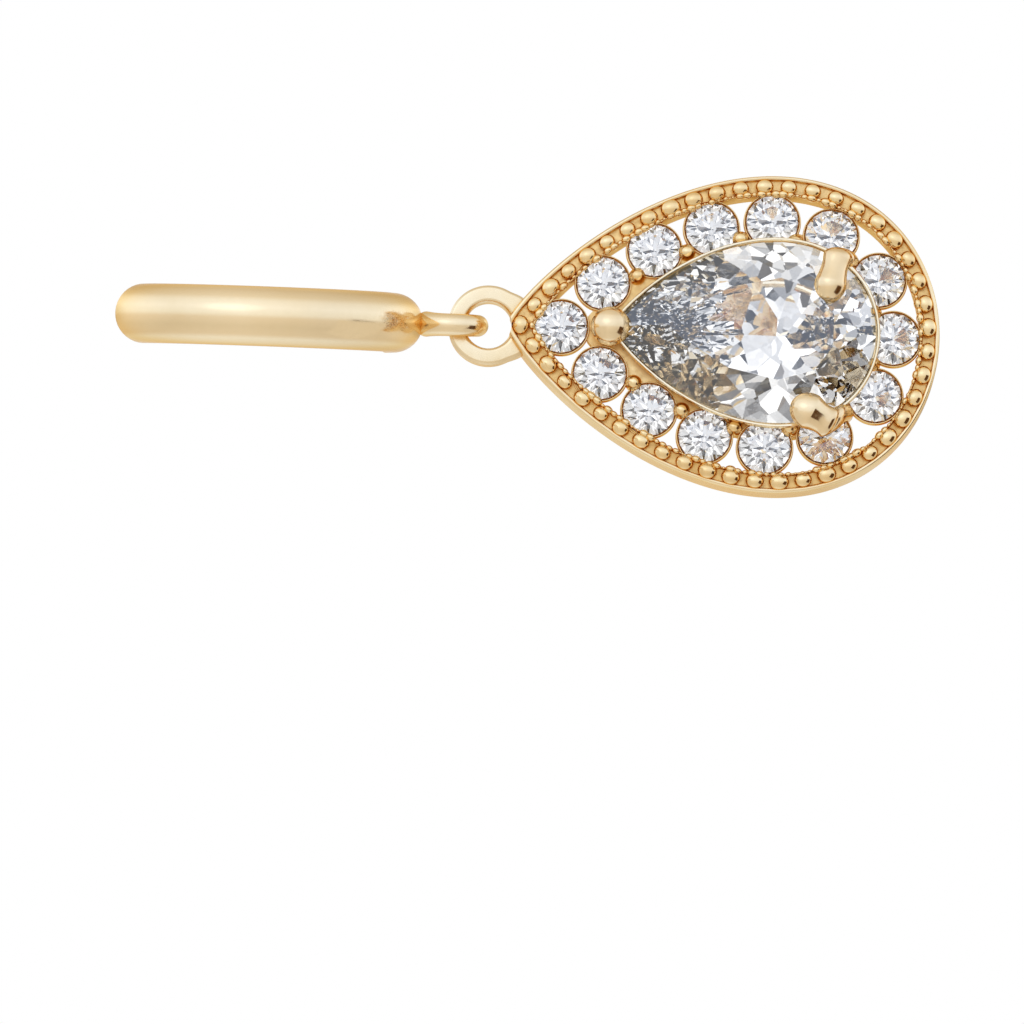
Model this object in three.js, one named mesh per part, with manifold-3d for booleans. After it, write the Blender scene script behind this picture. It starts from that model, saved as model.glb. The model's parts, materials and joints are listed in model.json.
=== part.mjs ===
// Teardrop earring: a small hinged hoop with a pear-shaped halo drop hanging from its eye.
// Millimetres, +Z up, front towards -Y. The origin is the top of the post, where the ear's piercing carries it.

import * as THREE from 'three';
import { mergeVertices } from 'three/addons/utils/BufferGeometryUtils.js';
import Module from 'manifold-3d';

const wasm = await Module();
wasm.setup();
const { Manifold } = wasm;

// Hoop, half round in section, in the YZ plane; angles run from its top towards the back
const hoopOuterRadius = 5.95;
const hoopWidth = 2.28;
const hoopThickness = 1.6;
const frontTipAngle = -8;
const frontTailAngle = -200;
const armLowAngle = 159;
const armHighAngle = 32;
const armWidth = 1.9;
const armThickness = 1.3;
const tipRounding = 0.45;
const postDiameter = 0.9;
const socketDepth = 0.8;
const socketClearance = 0.1;
const postEndGap = 0.12;
const tongueWidth = 0.8;
const tongueThickness = 0.7;
const tongueLength = 1.0;
const tongueClearance = 0.1;

// Eye under the hoop, in the hoop's own plane
const eyeWire = 0.84;
const eyeHole = 1.12;
const eyeSolderDepth = 0.29;

// Bail ring on the drop, seen face on
const bailHole = 1.78;
const bailBand = 0.65;
const bailDepth = 0.78;
const bailPlay = 0.05;

// Stones
const centerLength = 10;
const centerWidth = 7;
const centerCrown = 0.95;
const centerPavilion = 2.75;
const centerGirdle = 0.16;
const centerGirdleY = -1.0;
const accentDiameter = 2.0;
const accentCrown = 0.3;
const accentPavilion = 0.84;
const accentGirdle = 0.06;
const accentGirdleY = -0.5;
const stoneClearance = 0.05;
const tableShare = 0.56;
const pearPointing = 0.638;

// Setting
const cupWall = 0.1;
const cupLip = 0.05;
const cupDepth = 1.0;
const cupFoot = 0.93;
const cupHole = 1.25;
const cupBite = 0.14;
const cupSpacing = 0.03;
const haloTuckSide = 0.28;
const haloTuckEnd = 0.46;
const haloPointGap = 2.03;
const rimWall = 0.76;
const rimPointWall = 1.15;
const rimFrontY = -0.72;
const rimBackY = 0.72;
const rimChamfer = 0.12;
const beadLength = 0.66;
const beadWidth = 0.6;
const beadPitch = 0.92;
const beadSink = 0.04;
const webInset = 0.33;
const webPointInset = 0.73;
const webFrontY = -0.42;
const webBackY = 0.3;
const basketWall = 0.12;
const basketLip = 0.14;
const basketFootShare = 0.42;
const basketFootWall = 0.45;
const webProngDiameter = 0.56;
const webProngInset = 0.7;
const pointProngDiameter = 1.5;
const pointProngOut = 0.15;
const sideProngThickness = 1.05;
const upperProngWidth = 1.24;
const lowerProngWidth = 1.42;
const sideProngFootY = 0.1;
const sideProngTopY = -1.88;
const sideProngGap = 0.18;
const sideProngInset = 0.32;
const neckOverlap = 0.92;

// Side prongs: each rises between two accents and bends over the centre stone. Shoulder and tip are shares
// of the stone's width from its axis and of its length from its point.
const sideProngs = [
  { shoulderX: 0.42, shoulderDown: 0.842, tipX: 0.157, tipDown: 0.804, width: upperProngWidth },
  { shoulderX: -0.5, shoulderDown: 0.83, tipX: -0.414, tipDown: 0.71, width: lowerProngWidth },
];
const prongRise = [
  { reach: 0.0, rise: 0.0, size: 0.46 },
  { reach: 0.0, rise: 0.47, size: 0.5 },
  { reach: 0.6, rise: 0.7, size: 0.82 },
  { reach: 1.0, rise: 0.86, size: 0.9 },
  { reach: 1.5, rise: 0.97, size: 0.95 },
  { reach: 1.85, rise: 1.0, size: 0.94 },
  { reach: 2.0, rise: 1.0, size: 0.5 },
];

// The drop is turned a little on its eye, as it hangs in the picture
const dropTurn = 8;

const TAU = 2 * Math.PI;
const hoopCentreZ = -(hoopOuterRadius - hoopThickness / 2);
const hoopPathRadius = hoopOuterRadius - hoopThickness / 2;
const eyeOuterRadius = eyeHole / 2 + eyeWire;
const eyeCentreZ = hoopCentreZ - hoopOuterRadius + eyeSolderDepth - eyeOuterRadius;
const pivotZ = eyeCentreZ - eyeHole / 2 - eyeWire / 2;
const bailCentreZ = eyeWire / 2 + bailPlay - bailHole / 2;

const gold = new THREE.MeshStandardMaterial({ name: 'gold', color: 0xe6c385, roughness: 0.22, metalness: 1 });
const crystal = new THREE.MeshStandardMaterial({ name: 'crystal', color: 0xf2f5f7, roughness: 0.05, metalness: 0 });

// One closed skin: seams merged, collapsed triangles dropped; done before a shape is moved to its place
function welded(geometry) {
  const bare = geometry.clone();
  bare.deleteAttribute('normal');
  bare.deleteAttribute('uv');
  const merged = mergeVertices(bare, 1e-5);
  const corners = merged.index.array;
  const triangles = [];
  for (let i = 0; i < corners.length; i += 3) {
    const [a, b, c] = [corners[i], corners[i + 1], corners[i + 2]];
    if (a !== b && b !== c && c !== a) triangles.push(a, b, c);
  }
  return merged.setIndex(triangles);
}

function solidOf(skin) {
  const vertProperties = new Float32Array(skin.attributes.position.array);
  return new Manifold(new wasm.Mesh({ numProp: 3, vertProperties, triVerts: new Uint32Array(skin.index.array) }));
}

function meshOf(name, solid, material) {
  const cut = solid.getMesh();
  const geometry = new THREE.BufferGeometry();
  geometry.setAttribute('position', new THREE.BufferAttribute(new Float32Array(cut.vertProperties), 3));
  geometry.setIndex(new THREE.BufferAttribute(new Uint32Array(cut.triVerts), 1));
  geometry.computeVertexNormals();
  const mesh = new THREE.Mesh(geometry, material);
  mesh.name = name;
  return mesh;
}

function joined(solids) {
  return solids.reduce((whole, solid) => whole.add(solid));
}

// A skin through rings of equal count; an open one is capped at both ends
function loft(rings, closed = false) {
  const count = rings[0].length;
  const points = rings.flat();
  const triangles = [];
  const bands = closed ? rings.length : rings.length - 1;
  for (let i = 0; i < bands; i++) {
    const next = (i + 1) % rings.length;
    for (let j = 0; j < count; j++) {
      const side = (j + 1) % count;
      const [a, b, c, d] = [i * count + j, i * count + side, next * count + side, next * count + j];
      triangles.push(a, b, c, a, c, d);
    }
  }
  if (!closed) {
    const last = (rings.length - 1) * count;
    for (let j = 1; j < count - 1; j++) {
      triangles.push(0, j + 1, j);
      triangles.push(last, last + j, last + j + 1);
    }
  }
  let volume = 0;
  for (let i = 0; i < triangles.length; i += 3) {
    const [a, b, c] = [points[triangles[i]], points[triangles[i + 1]], points[triangles[i + 2]]];
    volume += a.dot(new THREE.Vector3().crossVectors(b, c));
  }
  if (volume < 0) triangles.reverse();
  const geometry = new THREE.BufferGeometry().setFromPoints(points);
  geometry.setIndex(triangles);
  return solidOf(geometry);
}

// A body turned about an axis along Y, from a profile of [radius, y] pairs
function turned(profile, sides, centre) {
  const points = profile.map(([r, y]) => new THREE.Vector2(r, y));
  const area = points.reduce((sum, p, i) => sum + p.cross(points[(i + 1) % points.length]), 0);
  if (area < 0) points.reverse();
  const skin = welded(new THREE.LatheGeometry([...points, points[0]], sides));
  return solidOf(skin.translate(centre.x, centre.y, centre.z));
}

// Pear outline: t = 0 at the point, t = PI at the round end
const pearPeak = 2 * ((pearPointing + 1) / (pearPointing + 2)) ** ((pearPointing + 1) / 2)
  / Math.sqrt(pearPointing + 2);

function pearPoint(pear, t, y = 0) {
  const x = pear.width / 2 * Math.sin(t) * Math.abs(Math.sin(t / 2)) ** pearPointing / pearPeak;
  const down = pear.top + pear.length * (1 - Math.cos(t)) / 2;
  return new THREE.Vector3(x, y, bailCentreZ - down);
}

function inset(pear, side, point = side, end = side) {
  return { top: pear.top + point, length: pear.length - point - end, width: pear.width - 2 * side };
}

// Places at equal distances round a pear, from its point on; a gap named in extras is that much longer
function evenPlaces(pear, wantedPitch, findCount, extras = {}) {
  const steps = 720;
  const reach = [0];
  for (let i = 1; i <= steps; i++) {
    const step = pearPoint(pear, TAU * i / steps).distanceTo(pearPoint(pear, TAU * (i - 1) / steps));
    reach.push(reach[i - 1] + step);
  }
  const shared = reach[steps] - Object.values(extras).reduce((sum, extra) => sum + extra, 0);
  const count = findCount(shared / wantedPitch);
  const places = [];
  for (let k = 0, i = 0, goal = 0; k < count; k++) {
    while (reach[i + 1] < goal) i++;
    places.push(TAU * (i + (goal - reach[i]) / (reach[i + 1] - reach[i])) / steps);
    goal += shared / count + (extras[k] ?? 0);
  }
  return places;
}

// A closed band round a pear, its section given by [pear, y] corners
function pearBand(section, steps = 56) {
  const rings = [];
  for (let i = 0; i < steps; i++) {
    rings.push(section.map(([pear, y]) => pearPoint(pear, TAU * i / steps, y)));
  }
  return loft(rings, true);
}

// A stack of pear outlines, closed at both ends
function pearStack(layers, steps = 36) {
  const rings = layers.map(([pear, y]) => {
    const ring = [];
    for (let i = 0; i < steps; i++) ring.push(pearPoint(pear, TAU * i / steps, y));
    return ring;
  });
  return loft(rings);
}

// Brilliant cut: a blank of the outline, ground flat along each facet's plane
function brilliant(outline, centre, cut, steps) {
  const { crown, pavilion, girdle, girdleY } = cut;
  const frontY = girdleY - girdle / 2;
  const backY = girdleY + girdle / 2;
  const ring = (y) => Array.from({ length: steps }, (_, i) => outline(TAU * i / steps).setY(y));
  let stone = loft([ring(frontY - crown), ring(backY + pavilion)]);
  const middle = new THREE.Vector3(centre.x, girdleY, centre.z);
  const towards = (t, share, y) => {
    const edge = outline(t);
    return new THREE.Vector3(
      centre.x + (edge.x - centre.x) * share, y, centre.z + (edge.z - centre.z) * share);
  };
  const facet = (a, b, c) => {
    const plane = new THREE.Plane().setFromCoplanarPoints(a, b, c);
    if (plane.distanceToPoint(middle) < 0) plane.negate();
    stone = stone.trimByPlane(plane.normal.toArray(), -plane.constant);
    return plane;
  };
  const edgeFacet = (t, y, through) => {
    const along = outline(t + 0.01).sub(outline(t - 0.01)).setY(0);
    const edge = outline(t).setY(y);
    return facet(edge, edge.clone().add(along), through);
  };
  const onPlane = (plane, point) => {
    const { normal, constant } = plane;
    return point.setY(-(normal.x * point.x + normal.z * point.z + constant) / normal.y);
  };
  const eighth = TAU / 8;
  const tip = new THREE.Vector3(centre.x, backY + pavilion, centre.z);
  for (let k = 0; k < 8; k++) {
    const [t, between] = [k * eighth, (k + 0.5) * eighth];
    const corner = towards(t, tableShare, frontY - crown);
    const nextCorner = towards(t + eighth, tableShare, frontY - crown);
    const main = edgeFacet(t, frontY, corner);
    const star = onPlane(main, towards(between, (1 + tableShare) / 2, 0));
    facet(corner, nextCorner, star);
    const low = edgeFacet(t, backY, tip);
    const deep = onPlane(low, towards(between, 1 - 0.78, 0));
    for (const quarter of [t + eighth / 4, t + eighth * 3 / 4]) {
      edgeFacet(quarter, frontY, star);
      edgeFacet(quarter, backY, deep);
    }
  }
  return stone;
}

// The nested outlines of the drop, from the centre stone out to the rim
const cupRadius = accentDiameter / 2 + stoneClearance + cupWall;
const pearAtZero = { top: 0, length: centerLength, width: centerWidth };
const haloAtZero = inset(pearAtZero, haloTuckSide - cupRadius, -haloPointGap, haloTuckEnd - cupRadius);
const rimInnerAtZero = inset(haloAtZero, cupBite - cupRadius);
const rimOuterAtZero = inset(rimInnerAtZero, -rimWall, -rimPointWall);
const neckTop = bailHole / 2 + bailBand - neckOverlap;
const shifted = (pear) => ({ ...pear, top: pear.top + neckTop - rimOuterAtZero.top });
const centerPear = shifted(pearAtZero);
const haloLine = shifted(haloAtZero);
const rimInner = shifted(rimInnerAtZero);
const rimOuter = shifted(rimOuterAtZero);
const beadLine = inset(rimOuter, rimWall / 2, rimPointWall / 2);
const webOuter = inset(haloLine, webInset, webPointInset);
const haloPitch = 2 * cupRadius + cupSpacing;
const onStone = (x, down) => new THREE.Vector3(
  x * centerWidth, 0, bailCentreZ - centerPear.top - down * centerLength);
const gapMiddle = (places, k) => (places[k] + (places[k + 1] ?? TAU)) / 2;

// The gap between accents that each side prong rises through is the nearest to its shoulder, and is widened
const evenHalo = evenPlaces(haloLine, haloPitch, Math.floor);
const prongGaps = sideProngs.map(({ shoulderX, shoulderDown }) => {
  const shoulder = onStone(shoulderX, shoulderDown);
  const away = evenHalo.map((_, k) => pearPoint(haloLine, gapMiddle(evenHalo, k)).distanceTo(shoulder));
  return away.indexOf(Math.min(...away));
});
const haloPlaces = evenPlaces(haloLine, haloPitch, Math.floor,
  Object.fromEntries(prongGaps.map((k) => [k, sideProngGap])));
const centerMiddle = pearPoint(centerPear, 0).setZ(
  bailCentreZ - centerPear.top - centerPear.length * 0.6);

function centerStone(grow = 0) {
  const pear = inset(centerPear, -grow);
  const cut = {
    crown: centerCrown, pavilion: centerPavilion, girdle: centerGirdle + 2 * grow, girdleY: centerGirdleY,
  };
  return brilliant((t) => pearPoint(pear, t), centerMiddle, cut, 48);
}

const girdleSides = 16;

function accentStone(place, grow = 0) {
  const centre = pearPoint(haloLine, place);
  const radius = accentDiameter / 2 + grow;
  const cut = {
    crown: accentCrown, pavilion: accentPavilion, girdle: accentGirdle + 2 * grow, girdleY: accentGirdleY,
  };
  const side = TAU / girdleSides;
  const outline = (t) => {
    const reach = radius * Math.cos(side / 2) / Math.cos(t - side * (Math.floor(t / side) + 0.5));
    return new THREE.Vector3(centre.x + reach * Math.sin(t), 0, centre.z + reach * Math.cos(t));
  };
  return brilliant(outline, centre, cut, girdleSides);
}

// Hoop: a half-round section swept round the YZ plane
function hoopSection(angle, width, thickness, scale = 1) {
  const phi = THREE.MathUtils.degToRad(angle);
  const [outward, sideways] = [new THREE.Vector3(0, Math.sin(phi), Math.cos(phi)), new THREE.Vector3(1, 0, 0)];
  const centre = new THREE.Vector3(0, 0, hoopCentreZ).addScaledVector(outward, hoopPathRadius);
  const outer = Math.min(width / 2, thickness * 0.7);
  const inner = thickness - outer;
  const lift = thickness / 2 - outer;
  return Array.from({ length: 12 }, (_, i) => {
    const a = TAU * i / 12;
    const height = lift + Math.cos(a) * (Math.cos(a) > 0 ? outer : inner);
    return centre.clone()
      .addScaledVector(sideways, Math.sin(a) * width / 2 * scale)
      .addScaledVector(outward, height * scale);
  });
}

function hoopBar(fromAngle, toAngle, width, thickness, rounding) {
  const turn = THREE.MathUtils.radToDeg(rounding / hoopPathRadius);
  const direction = Math.sign(toAngle - fromAngle);
  const steps = Math.ceil(Math.abs(toAngle - fromAngle) / 7.5);
  const rings = [hoopSection(fromAngle, width, thickness, 0.6)];
  rings.push(hoopSection(fromAngle + direction * turn * 0.3, width, thickness, 0.88));
  for (let i = 0; i <= steps; i++) {
    const start = fromAngle + direction * turn;
    rings.push(hoopSection(start + (toAngle - start) * i / steps, width, thickness));
  }
  return loft(rings);
}

function roundArc(fromAngle, toAngle, diameter) {
  const steps = Math.ceil(Math.abs(toAngle - fromAngle) / 6);
  const rings = [];
  for (let i = 0; i <= steps; i++) {
    const phi = THREE.MathUtils.degToRad(fromAngle + (toAngle - fromAngle) * i / steps);
    const outward = new THREE.Vector3(0, Math.sin(phi), Math.cos(phi));
    rings.push(Array.from({ length: 12 }, (_, j) => {
      const a = TAU * j / 12;
      return new THREE.Vector3(Math.sin(a) * diameter / 2, 0, hoopCentreZ)
        .addScaledVector(outward, hoopPathRadius + Math.cos(a) * diameter / 2);
    }));
  }
  return loft(rings);
}

// A tongue, or the slot for it, at the hoop's hidden joint
function tongueBlock(fromAngle, length, width, thickness) {
  const phi = THREE.MathUtils.degToRad(fromAngle);
  const block = welded(new THREE.BoxGeometry(width, length, thickness));
  block.translate(0, length / 2, hoopPathRadius);
  block.rotateX(-phi);
  block.translate(0, 0, hoopCentreZ);
  return solidOf(block);
}

const degreesOf = (length) => THREE.MathUtils.radToDeg(length / hoopPathRadius);

function hoopFront() {
  const bar = hoopBar(frontTipAngle, frontTailAngle, hoopWidth, hoopThickness, tipRounding);
  const eye = solidOf(welded(new THREE.TorusGeometry(eyeHole / 2 + eyeWire / 2, eyeWire / 2, 12, 20))
    .rotateY(Math.PI / 2).translate(0, 0, eyeCentreZ));
  const socket = roundArc(frontTipAngle - degreesOf(socketDepth), frontTipAngle + 2,
    postDiameter + 2 * socketClearance);
  const slotLength = tongueLength + 2 * tongueClearance;
  const slot = tongueBlock(frontTailAngle - degreesOf(tongueClearance), slotLength, tongueWidth + 2 * tongueClearance, hoopThickness * 2);
  return bar.add(eye).subtract(socket).subtract(slot);
}

function hoopBack() {
  const arm = hoopBar(armHighAngle, armLowAngle, armWidth, armThickness, tipRounding);
  const post = roundArc(frontTipAngle - degreesOf(socketDepth - postEndGap), armHighAngle + 4, postDiameter);
  const reach = hoopPathRadius * THREE.MathUtils.degToRad(360 + frontTailAngle - armLowAngle);
  const tongue = tongueBlock(armLowAngle - degreesOf(0.3), tongueLength + reach + 0.3 - postEndGap,
    tongueWidth, tongueThickness);
  return joined([arm, post, tongue]);
}

function bail() {
  const [inner, outer, half] = [bailHole / 2, bailHole / 2 + bailBand, bailDepth / 2];
  const edge = bailBand * 0.26;
  return turned([
    [inner, -half * 0.35], [inner + edge * 0.5, -half * 0.82], [inner + edge * 1.3, -half],
    [outer - edge, -half], [outer - edge * 0.25, -half * 0.7], [outer, -half * 0.3],
    [outer, half * 0.3], [outer - edge * 0.25, half * 0.7], [outer - edge, half],
    [inner + edge * 1.3, half], [inner + edge * 0.5, half * 0.82], [inner, half * 0.35],
  ], 24, new THREE.Vector3(0, 0, bailCentreZ));
}

function bailOpening() {
  const reach = 2 * bailDepth;
  return turned([[0, -reach], [bailHole / 2, -reach], [bailHole / 2, reach], [0, reach]], 24,
    new THREE.Vector3(0, 0, bailCentreZ));
}

function milgrain() {
  const bead = welded(new THREE.SphereGeometry(0.5, 8, 4));
  return evenPlaces(beadLine, beadPitch, Math.round).map((place) => {
    const at = pearPoint(beadLine, place, rimFrontY + beadSink);
    const along = pearPoint(beadLine, place + 0.02).sub(pearPoint(beadLine, place - 0.02));
    const grain = bead.clone().scale(beadLength, beadWidth, beadWidth)
      .rotateY(Math.atan2(-along.z, along.x)).translate(at.x, at.y, at.z);
    return solidOf(grain);
  });
}

function cup(place) {
  const frontY = accentGirdleY - accentGirdle / 2 - cupLip;
  const backY = frontY + cupDepth;
  return turned([[0, frontY], [cupRadius, frontY], [cupFoot, backY], [0, backY]], 16, pearPoint(haloLine, place));
}

// What the cup is hollowed by: the stone's seat and the open hole behind it
function cupSeat(place) {
  const seat = accentDiameter / 2 + stoneClearance;
  const seatY = accentGirdleY + accentGirdle / 2 + stoneClearance;
  const slope = accentPavilion / (accentDiameter / 2);
  return turned([
    [0, accentGirdleY - 2], [seat, accentGirdleY - 2], [seat, seatY],
    [cupHole / 2, seatY + (seat - cupHole / 2) * slope * 0.8], [cupHole / 2, 2], [0, 2],
  ], 16, pearPoint(haloLine, place));
}

// A share of the centre stone's outline about its own middle, grown all round
function sharePear(share, grow) {
  const middleDown = centerPear.top + centerPear.length * 0.6;
  const length = centerPear.length * share;
  return {
    top: middleDown - length * 0.6 - grow,
    length: length + 2 * grow,
    width: centerPear.width * share + 2 * grow,
  };
}

const basketBackY = centerGirdleY + centerGirdle / 2 + centerPavilion + 0.15;

function basket() {
  const girdleBack = centerGirdleY + centerGirdle / 2;
  return pearStack([
    [sharePear(1, stoneClearance + basketWall), centerGirdleY - centerGirdle / 2 - basketLip],
    [sharePear(1, stoneClearance + basketWall), girdleBack + 0.1],
    [sharePear(0.86, basketWall * 2), webFrontY],
    [sharePear(0.78, basketFootWall), webBackY],
    [sharePear(basketFootShare, basketFootWall), basketBackY],
  ]);
}

function basketHollow() {
  const girdleBack = centerGirdleY + centerGirdle / 2;
  return pearStack([
    [sharePear(1, stoneClearance), centerGirdleY - 2],
    [sharePear(1, stoneClearance), girdleBack + 0.02],
    [sharePear(0.7, stoneClearance * 2), girdleBack + centerPavilion * 0.3],
    [sharePear(basketFootShare, 0.05), girdleBack + centerPavilion * 0.72],
    [sharePear(basketFootShare, 0.05), basketBackY + 1],
  ]);
}

function sideProng(prong, k) {
  const root = pearPoint(inset(haloLine, sideProngInset), gapMiddle(haloPlaces, prongGaps[k]));
  const shoulder = onStone(prong.shoulderX, prong.shoulderDown);
  const tip = onStone(prong.tipX, prong.tipDown);
  const across = tip.clone().sub(shoulder).normalize().cross(new THREE.Vector3(0, 1, 0));
  const spine = prongRise.map(({ reach, rise }) => {
    const at = reach < 1 ? root.clone().lerp(shoulder, reach) : shoulder.clone().lerp(tip, reach - 1);
    return at.setY(sideProngFootY + (sideProngTopY - sideProngFootY) * rise);
  });
  return loft(prongRise.map(({ size }, i) => {
    const before = spine[Math.max(i - 1, 0)];
    const after = spine[Math.min(i + 1, spine.length - 1)];
    const heading = after.clone().sub(before).normalize();
    const upward = across.clone().cross(heading);
    return Array.from({ length: 12 }, (_, j) => spine[i].clone()
      .addScaledVector(across, Math.cos(TAU * j / 12) * prong.width / 2 * size)
      .addScaledVector(upward, Math.sin(TAU * j / 12) * sideProngThickness / 2 * size));
  }));
}

function pointProng() {
  const at = pearPoint(centerPear, 0, centerGirdleY - centerGirdle);
  at.z += pointProngOut;
  const ball = solidOf(welded(new THREE.SphereGeometry(pointProngDiameter / 2, 16, 10))
    .translate(at.x, at.y, at.z));
  const stemRadius = pointProngDiameter * 0.36;
  const stem = turned([[0, at.y], [stemRadius, at.y], [stemRadius, webBackY], [0, webBackY]], 12,
    at.clone().setY(0));
  return ball.add(stem);
}

// Small bead prongs on the web, one between each two accents that no other prong rises between
function webProngs() {
  const line = inset(haloLine, webProngInset);
  const bead = welded(new THREE.SphereGeometry(webProngDiameter / 2, 8, 4));
  const gaps = haloPlaces.map((_, k) => k).slice(1, -1).filter((k) => !prongGaps.includes(k));
  return gaps.map((k) => {
    const at = pearPoint(line, gapMiddle(haloPlaces, k), webFrontY);
    return solidOf(bead.clone().scale(1, 1.5, 1).translate(at.x, at.y, at.z));
  });
}

function dropSetting() {
  const rim = pearBand([
    [rimOuter, rimBackY], [rimOuter, rimFrontY + rimChamfer], [inset(rimOuter, rimChamfer), rimFrontY],
    [inset(rimInner, -rimChamfer), rimFrontY], [rimInner, rimFrontY + rimChamfer], [rimInner, rimBackY],
  ]);
  const web = pearStack([[webOuter, webFrontY], [webOuter, webBackY]]);
  const hollows = joined(haloPlaces.map(cupSeat)).add(basketHollow());
  const metal = joined([rim, web, basket(), ...haloPlaces.map(cup)]).subtract(hollows);
  const grownStones = joined(haloPlaces.map((place) => accentStone(place, stoneClearance)))
    .add(centerStone(stoneClearance));
  const prongs = joined([...sideProngs.map(sideProng), pointProng(), ...webProngs()]).subtract(grownStones);
  const cast = joined([metal, ...milgrain()]).subtract(bailOpening());
  return joined([cast, prongs, bail()]);
}

const earring = new THREE.Group();

const hoop = new THREE.Group();
hoop.add(meshOf('hoop_front', hoopFront(), gold));
hoop.add(meshOf('hoop_back', hoopBack(), gold));
earring.add(hoop);

const drop = new THREE.Group();
drop.position.z = pivotZ;
drop.rotation.z = THREE.MathUtils.degToRad(dropTurn);
drop.add(meshOf('drop_setting', dropSetting(), gold));
drop.add(meshOf('center_stone', centerStone(), crystal));
haloPlaces.forEach((place, i) => {
  drop.add(meshOf(`halo_stone_${String(i + 1).padStart(2, '0')}`, accentStone(place), crystal));
});
earring.add(drop);

export default earring;
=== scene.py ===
import json
import math

import bmesh
import bpy
from mathutils import Matrix, Vector


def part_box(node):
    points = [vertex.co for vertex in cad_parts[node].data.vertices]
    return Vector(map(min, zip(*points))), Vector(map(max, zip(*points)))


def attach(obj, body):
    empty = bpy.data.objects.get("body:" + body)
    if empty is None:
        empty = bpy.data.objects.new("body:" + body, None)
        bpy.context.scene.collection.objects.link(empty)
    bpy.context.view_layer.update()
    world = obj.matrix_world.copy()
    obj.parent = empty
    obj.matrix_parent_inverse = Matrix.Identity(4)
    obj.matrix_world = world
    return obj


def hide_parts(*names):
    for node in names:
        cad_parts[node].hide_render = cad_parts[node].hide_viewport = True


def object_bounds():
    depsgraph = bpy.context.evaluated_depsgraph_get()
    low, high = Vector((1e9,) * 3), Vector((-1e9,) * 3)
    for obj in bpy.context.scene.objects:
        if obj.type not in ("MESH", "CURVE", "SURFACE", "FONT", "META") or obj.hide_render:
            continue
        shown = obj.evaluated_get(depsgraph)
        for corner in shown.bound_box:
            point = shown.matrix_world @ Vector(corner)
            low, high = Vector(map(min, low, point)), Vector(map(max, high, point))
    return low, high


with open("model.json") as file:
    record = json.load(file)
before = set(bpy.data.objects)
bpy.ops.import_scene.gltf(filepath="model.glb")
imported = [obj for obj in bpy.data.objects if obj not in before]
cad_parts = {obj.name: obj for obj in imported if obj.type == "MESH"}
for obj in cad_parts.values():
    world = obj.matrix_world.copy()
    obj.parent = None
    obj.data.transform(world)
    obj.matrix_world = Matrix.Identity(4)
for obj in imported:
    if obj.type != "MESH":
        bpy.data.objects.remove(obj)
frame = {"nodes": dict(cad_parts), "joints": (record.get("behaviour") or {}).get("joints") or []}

cad_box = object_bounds()
MM = 0.001

# Studio: the earring hangs in the air before white paper, seen from straight in front with its top to the
# left, as a jewel laid out for a catalogue is. It is lit by a white tent of soft strips, with one lamp
# behind the cloth and two cards that only the metal mirrors.
PICTURE_SIDE = 1024
PICTURE_LEFT = 116.5
PICTURE_TOP_Y = 312.7
PICTURE_RIGHT = 939
PICTURE_BOTTOM_Y = 342.8
CAMERA_AWAY = 0.5
CAMERA_NEAR = 0.01
CAMERA_FAR = 10
SENSOR = 36.0
FLOOR_DROP = 0.02
FLOOR_RADIUS = 0.12
FLOOR_SIDES = 64
PAPER_COLOUR = (0.9, 0.9, 0.89, 1)
PAPER_ROUGHNESS = 0.7


def placed(name, data):
    thing = bpy.data.objects.new(name, data)
    bpy.context.scene.collection.objects.link(thing)
    return thing


def place_camera():
    low, high = cad_box
    length = high.z - low.z
    run = PICTURE_RIGHT - PICTURE_LEFT
    fall = PICTURE_BOTTOM_Y - PICTURE_TOP_Y
    roll = math.atan2(fall, run)
    pixel = length / math.hypot(run, fall)
    off_right = (PICTURE_LEFT + PICTURE_RIGHT) / 2 - PICTURE_SIDE / 2
    off_down = (PICTURE_TOP_Y + PICTURE_BOTTOM_Y) / 2 - PICTURE_SIDE / 2
    along = off_right * math.cos(roll) + off_down * math.sin(roll)
    across = off_right * math.sin(roll) - off_down * math.cos(roll)
    centre = Vector((-across * pixel, -CAMERA_AWAY, (low.z + high.z) / 2 + along * pixel))
    data = bpy.data.cameras.new("camera")
    data.sensor_width = SENSOR
    data.lens = SENSOR * CAMERA_AWAY / (PICTURE_SIDE * pixel)
    data.clip_start = CAMERA_NEAR
    data.clip_end = CAMERA_FAR
    right = Vector((math.sin(roll), 0, -math.cos(roll)))
    up = Vector((math.cos(roll), 0, math.sin(roll)))
    turn = Matrix((right, up, Vector((0, -1, 0)))).transposed()
    camera = placed("camera", data)
    camera.matrix_world = Matrix.Translation(centre) @ turn.to_4x4()
    bpy.context.scene.camera = camera


def wire(tree, kind, **inputs):
    """Adds a node; plain values go in its sockets, and sockets of other nodes are linked to them."""
    node = tree.nodes.new(kind)
    for name, value in inputs.items():
        key = int(name[1:]) if name[0] == "_" else name.replace("_", " ")
        if isinstance(value, bpy.types.NodeSocket):
            tree.links.new(value, node.inputs[key])
        else:
            node.inputs[key].default_value = value
    return node


def sums(tree, operation, first, second=0.0, third=0.0):
    """One step of arithmetic on numbers or sockets."""
    node = tree.nodes.new("ShaderNodeMath")
    node.operation = operation
    for socket, value in zip(node.inputs, (first, second, third)):
        if isinstance(value, bpy.types.NodeSocket):
            tree.links.new(value, socket)
        else:
            socket.default_value = value
    return node.outputs[0]


def ramp(tree, factor, stops, kind="LINEAR"):
    node = wire(tree, "ShaderNodeValToRGB", Fac=factor)
    node.color_ramp.interpolation = kind
    points = node.color_ramp.elements
    while len(points) < len(stops):
        points.new(0.5)
    for point, (place, colour) in zip(points, stops):
        point.position = place
        point.color = (*colour, 1)
    return node.outputs["Color"]


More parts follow.
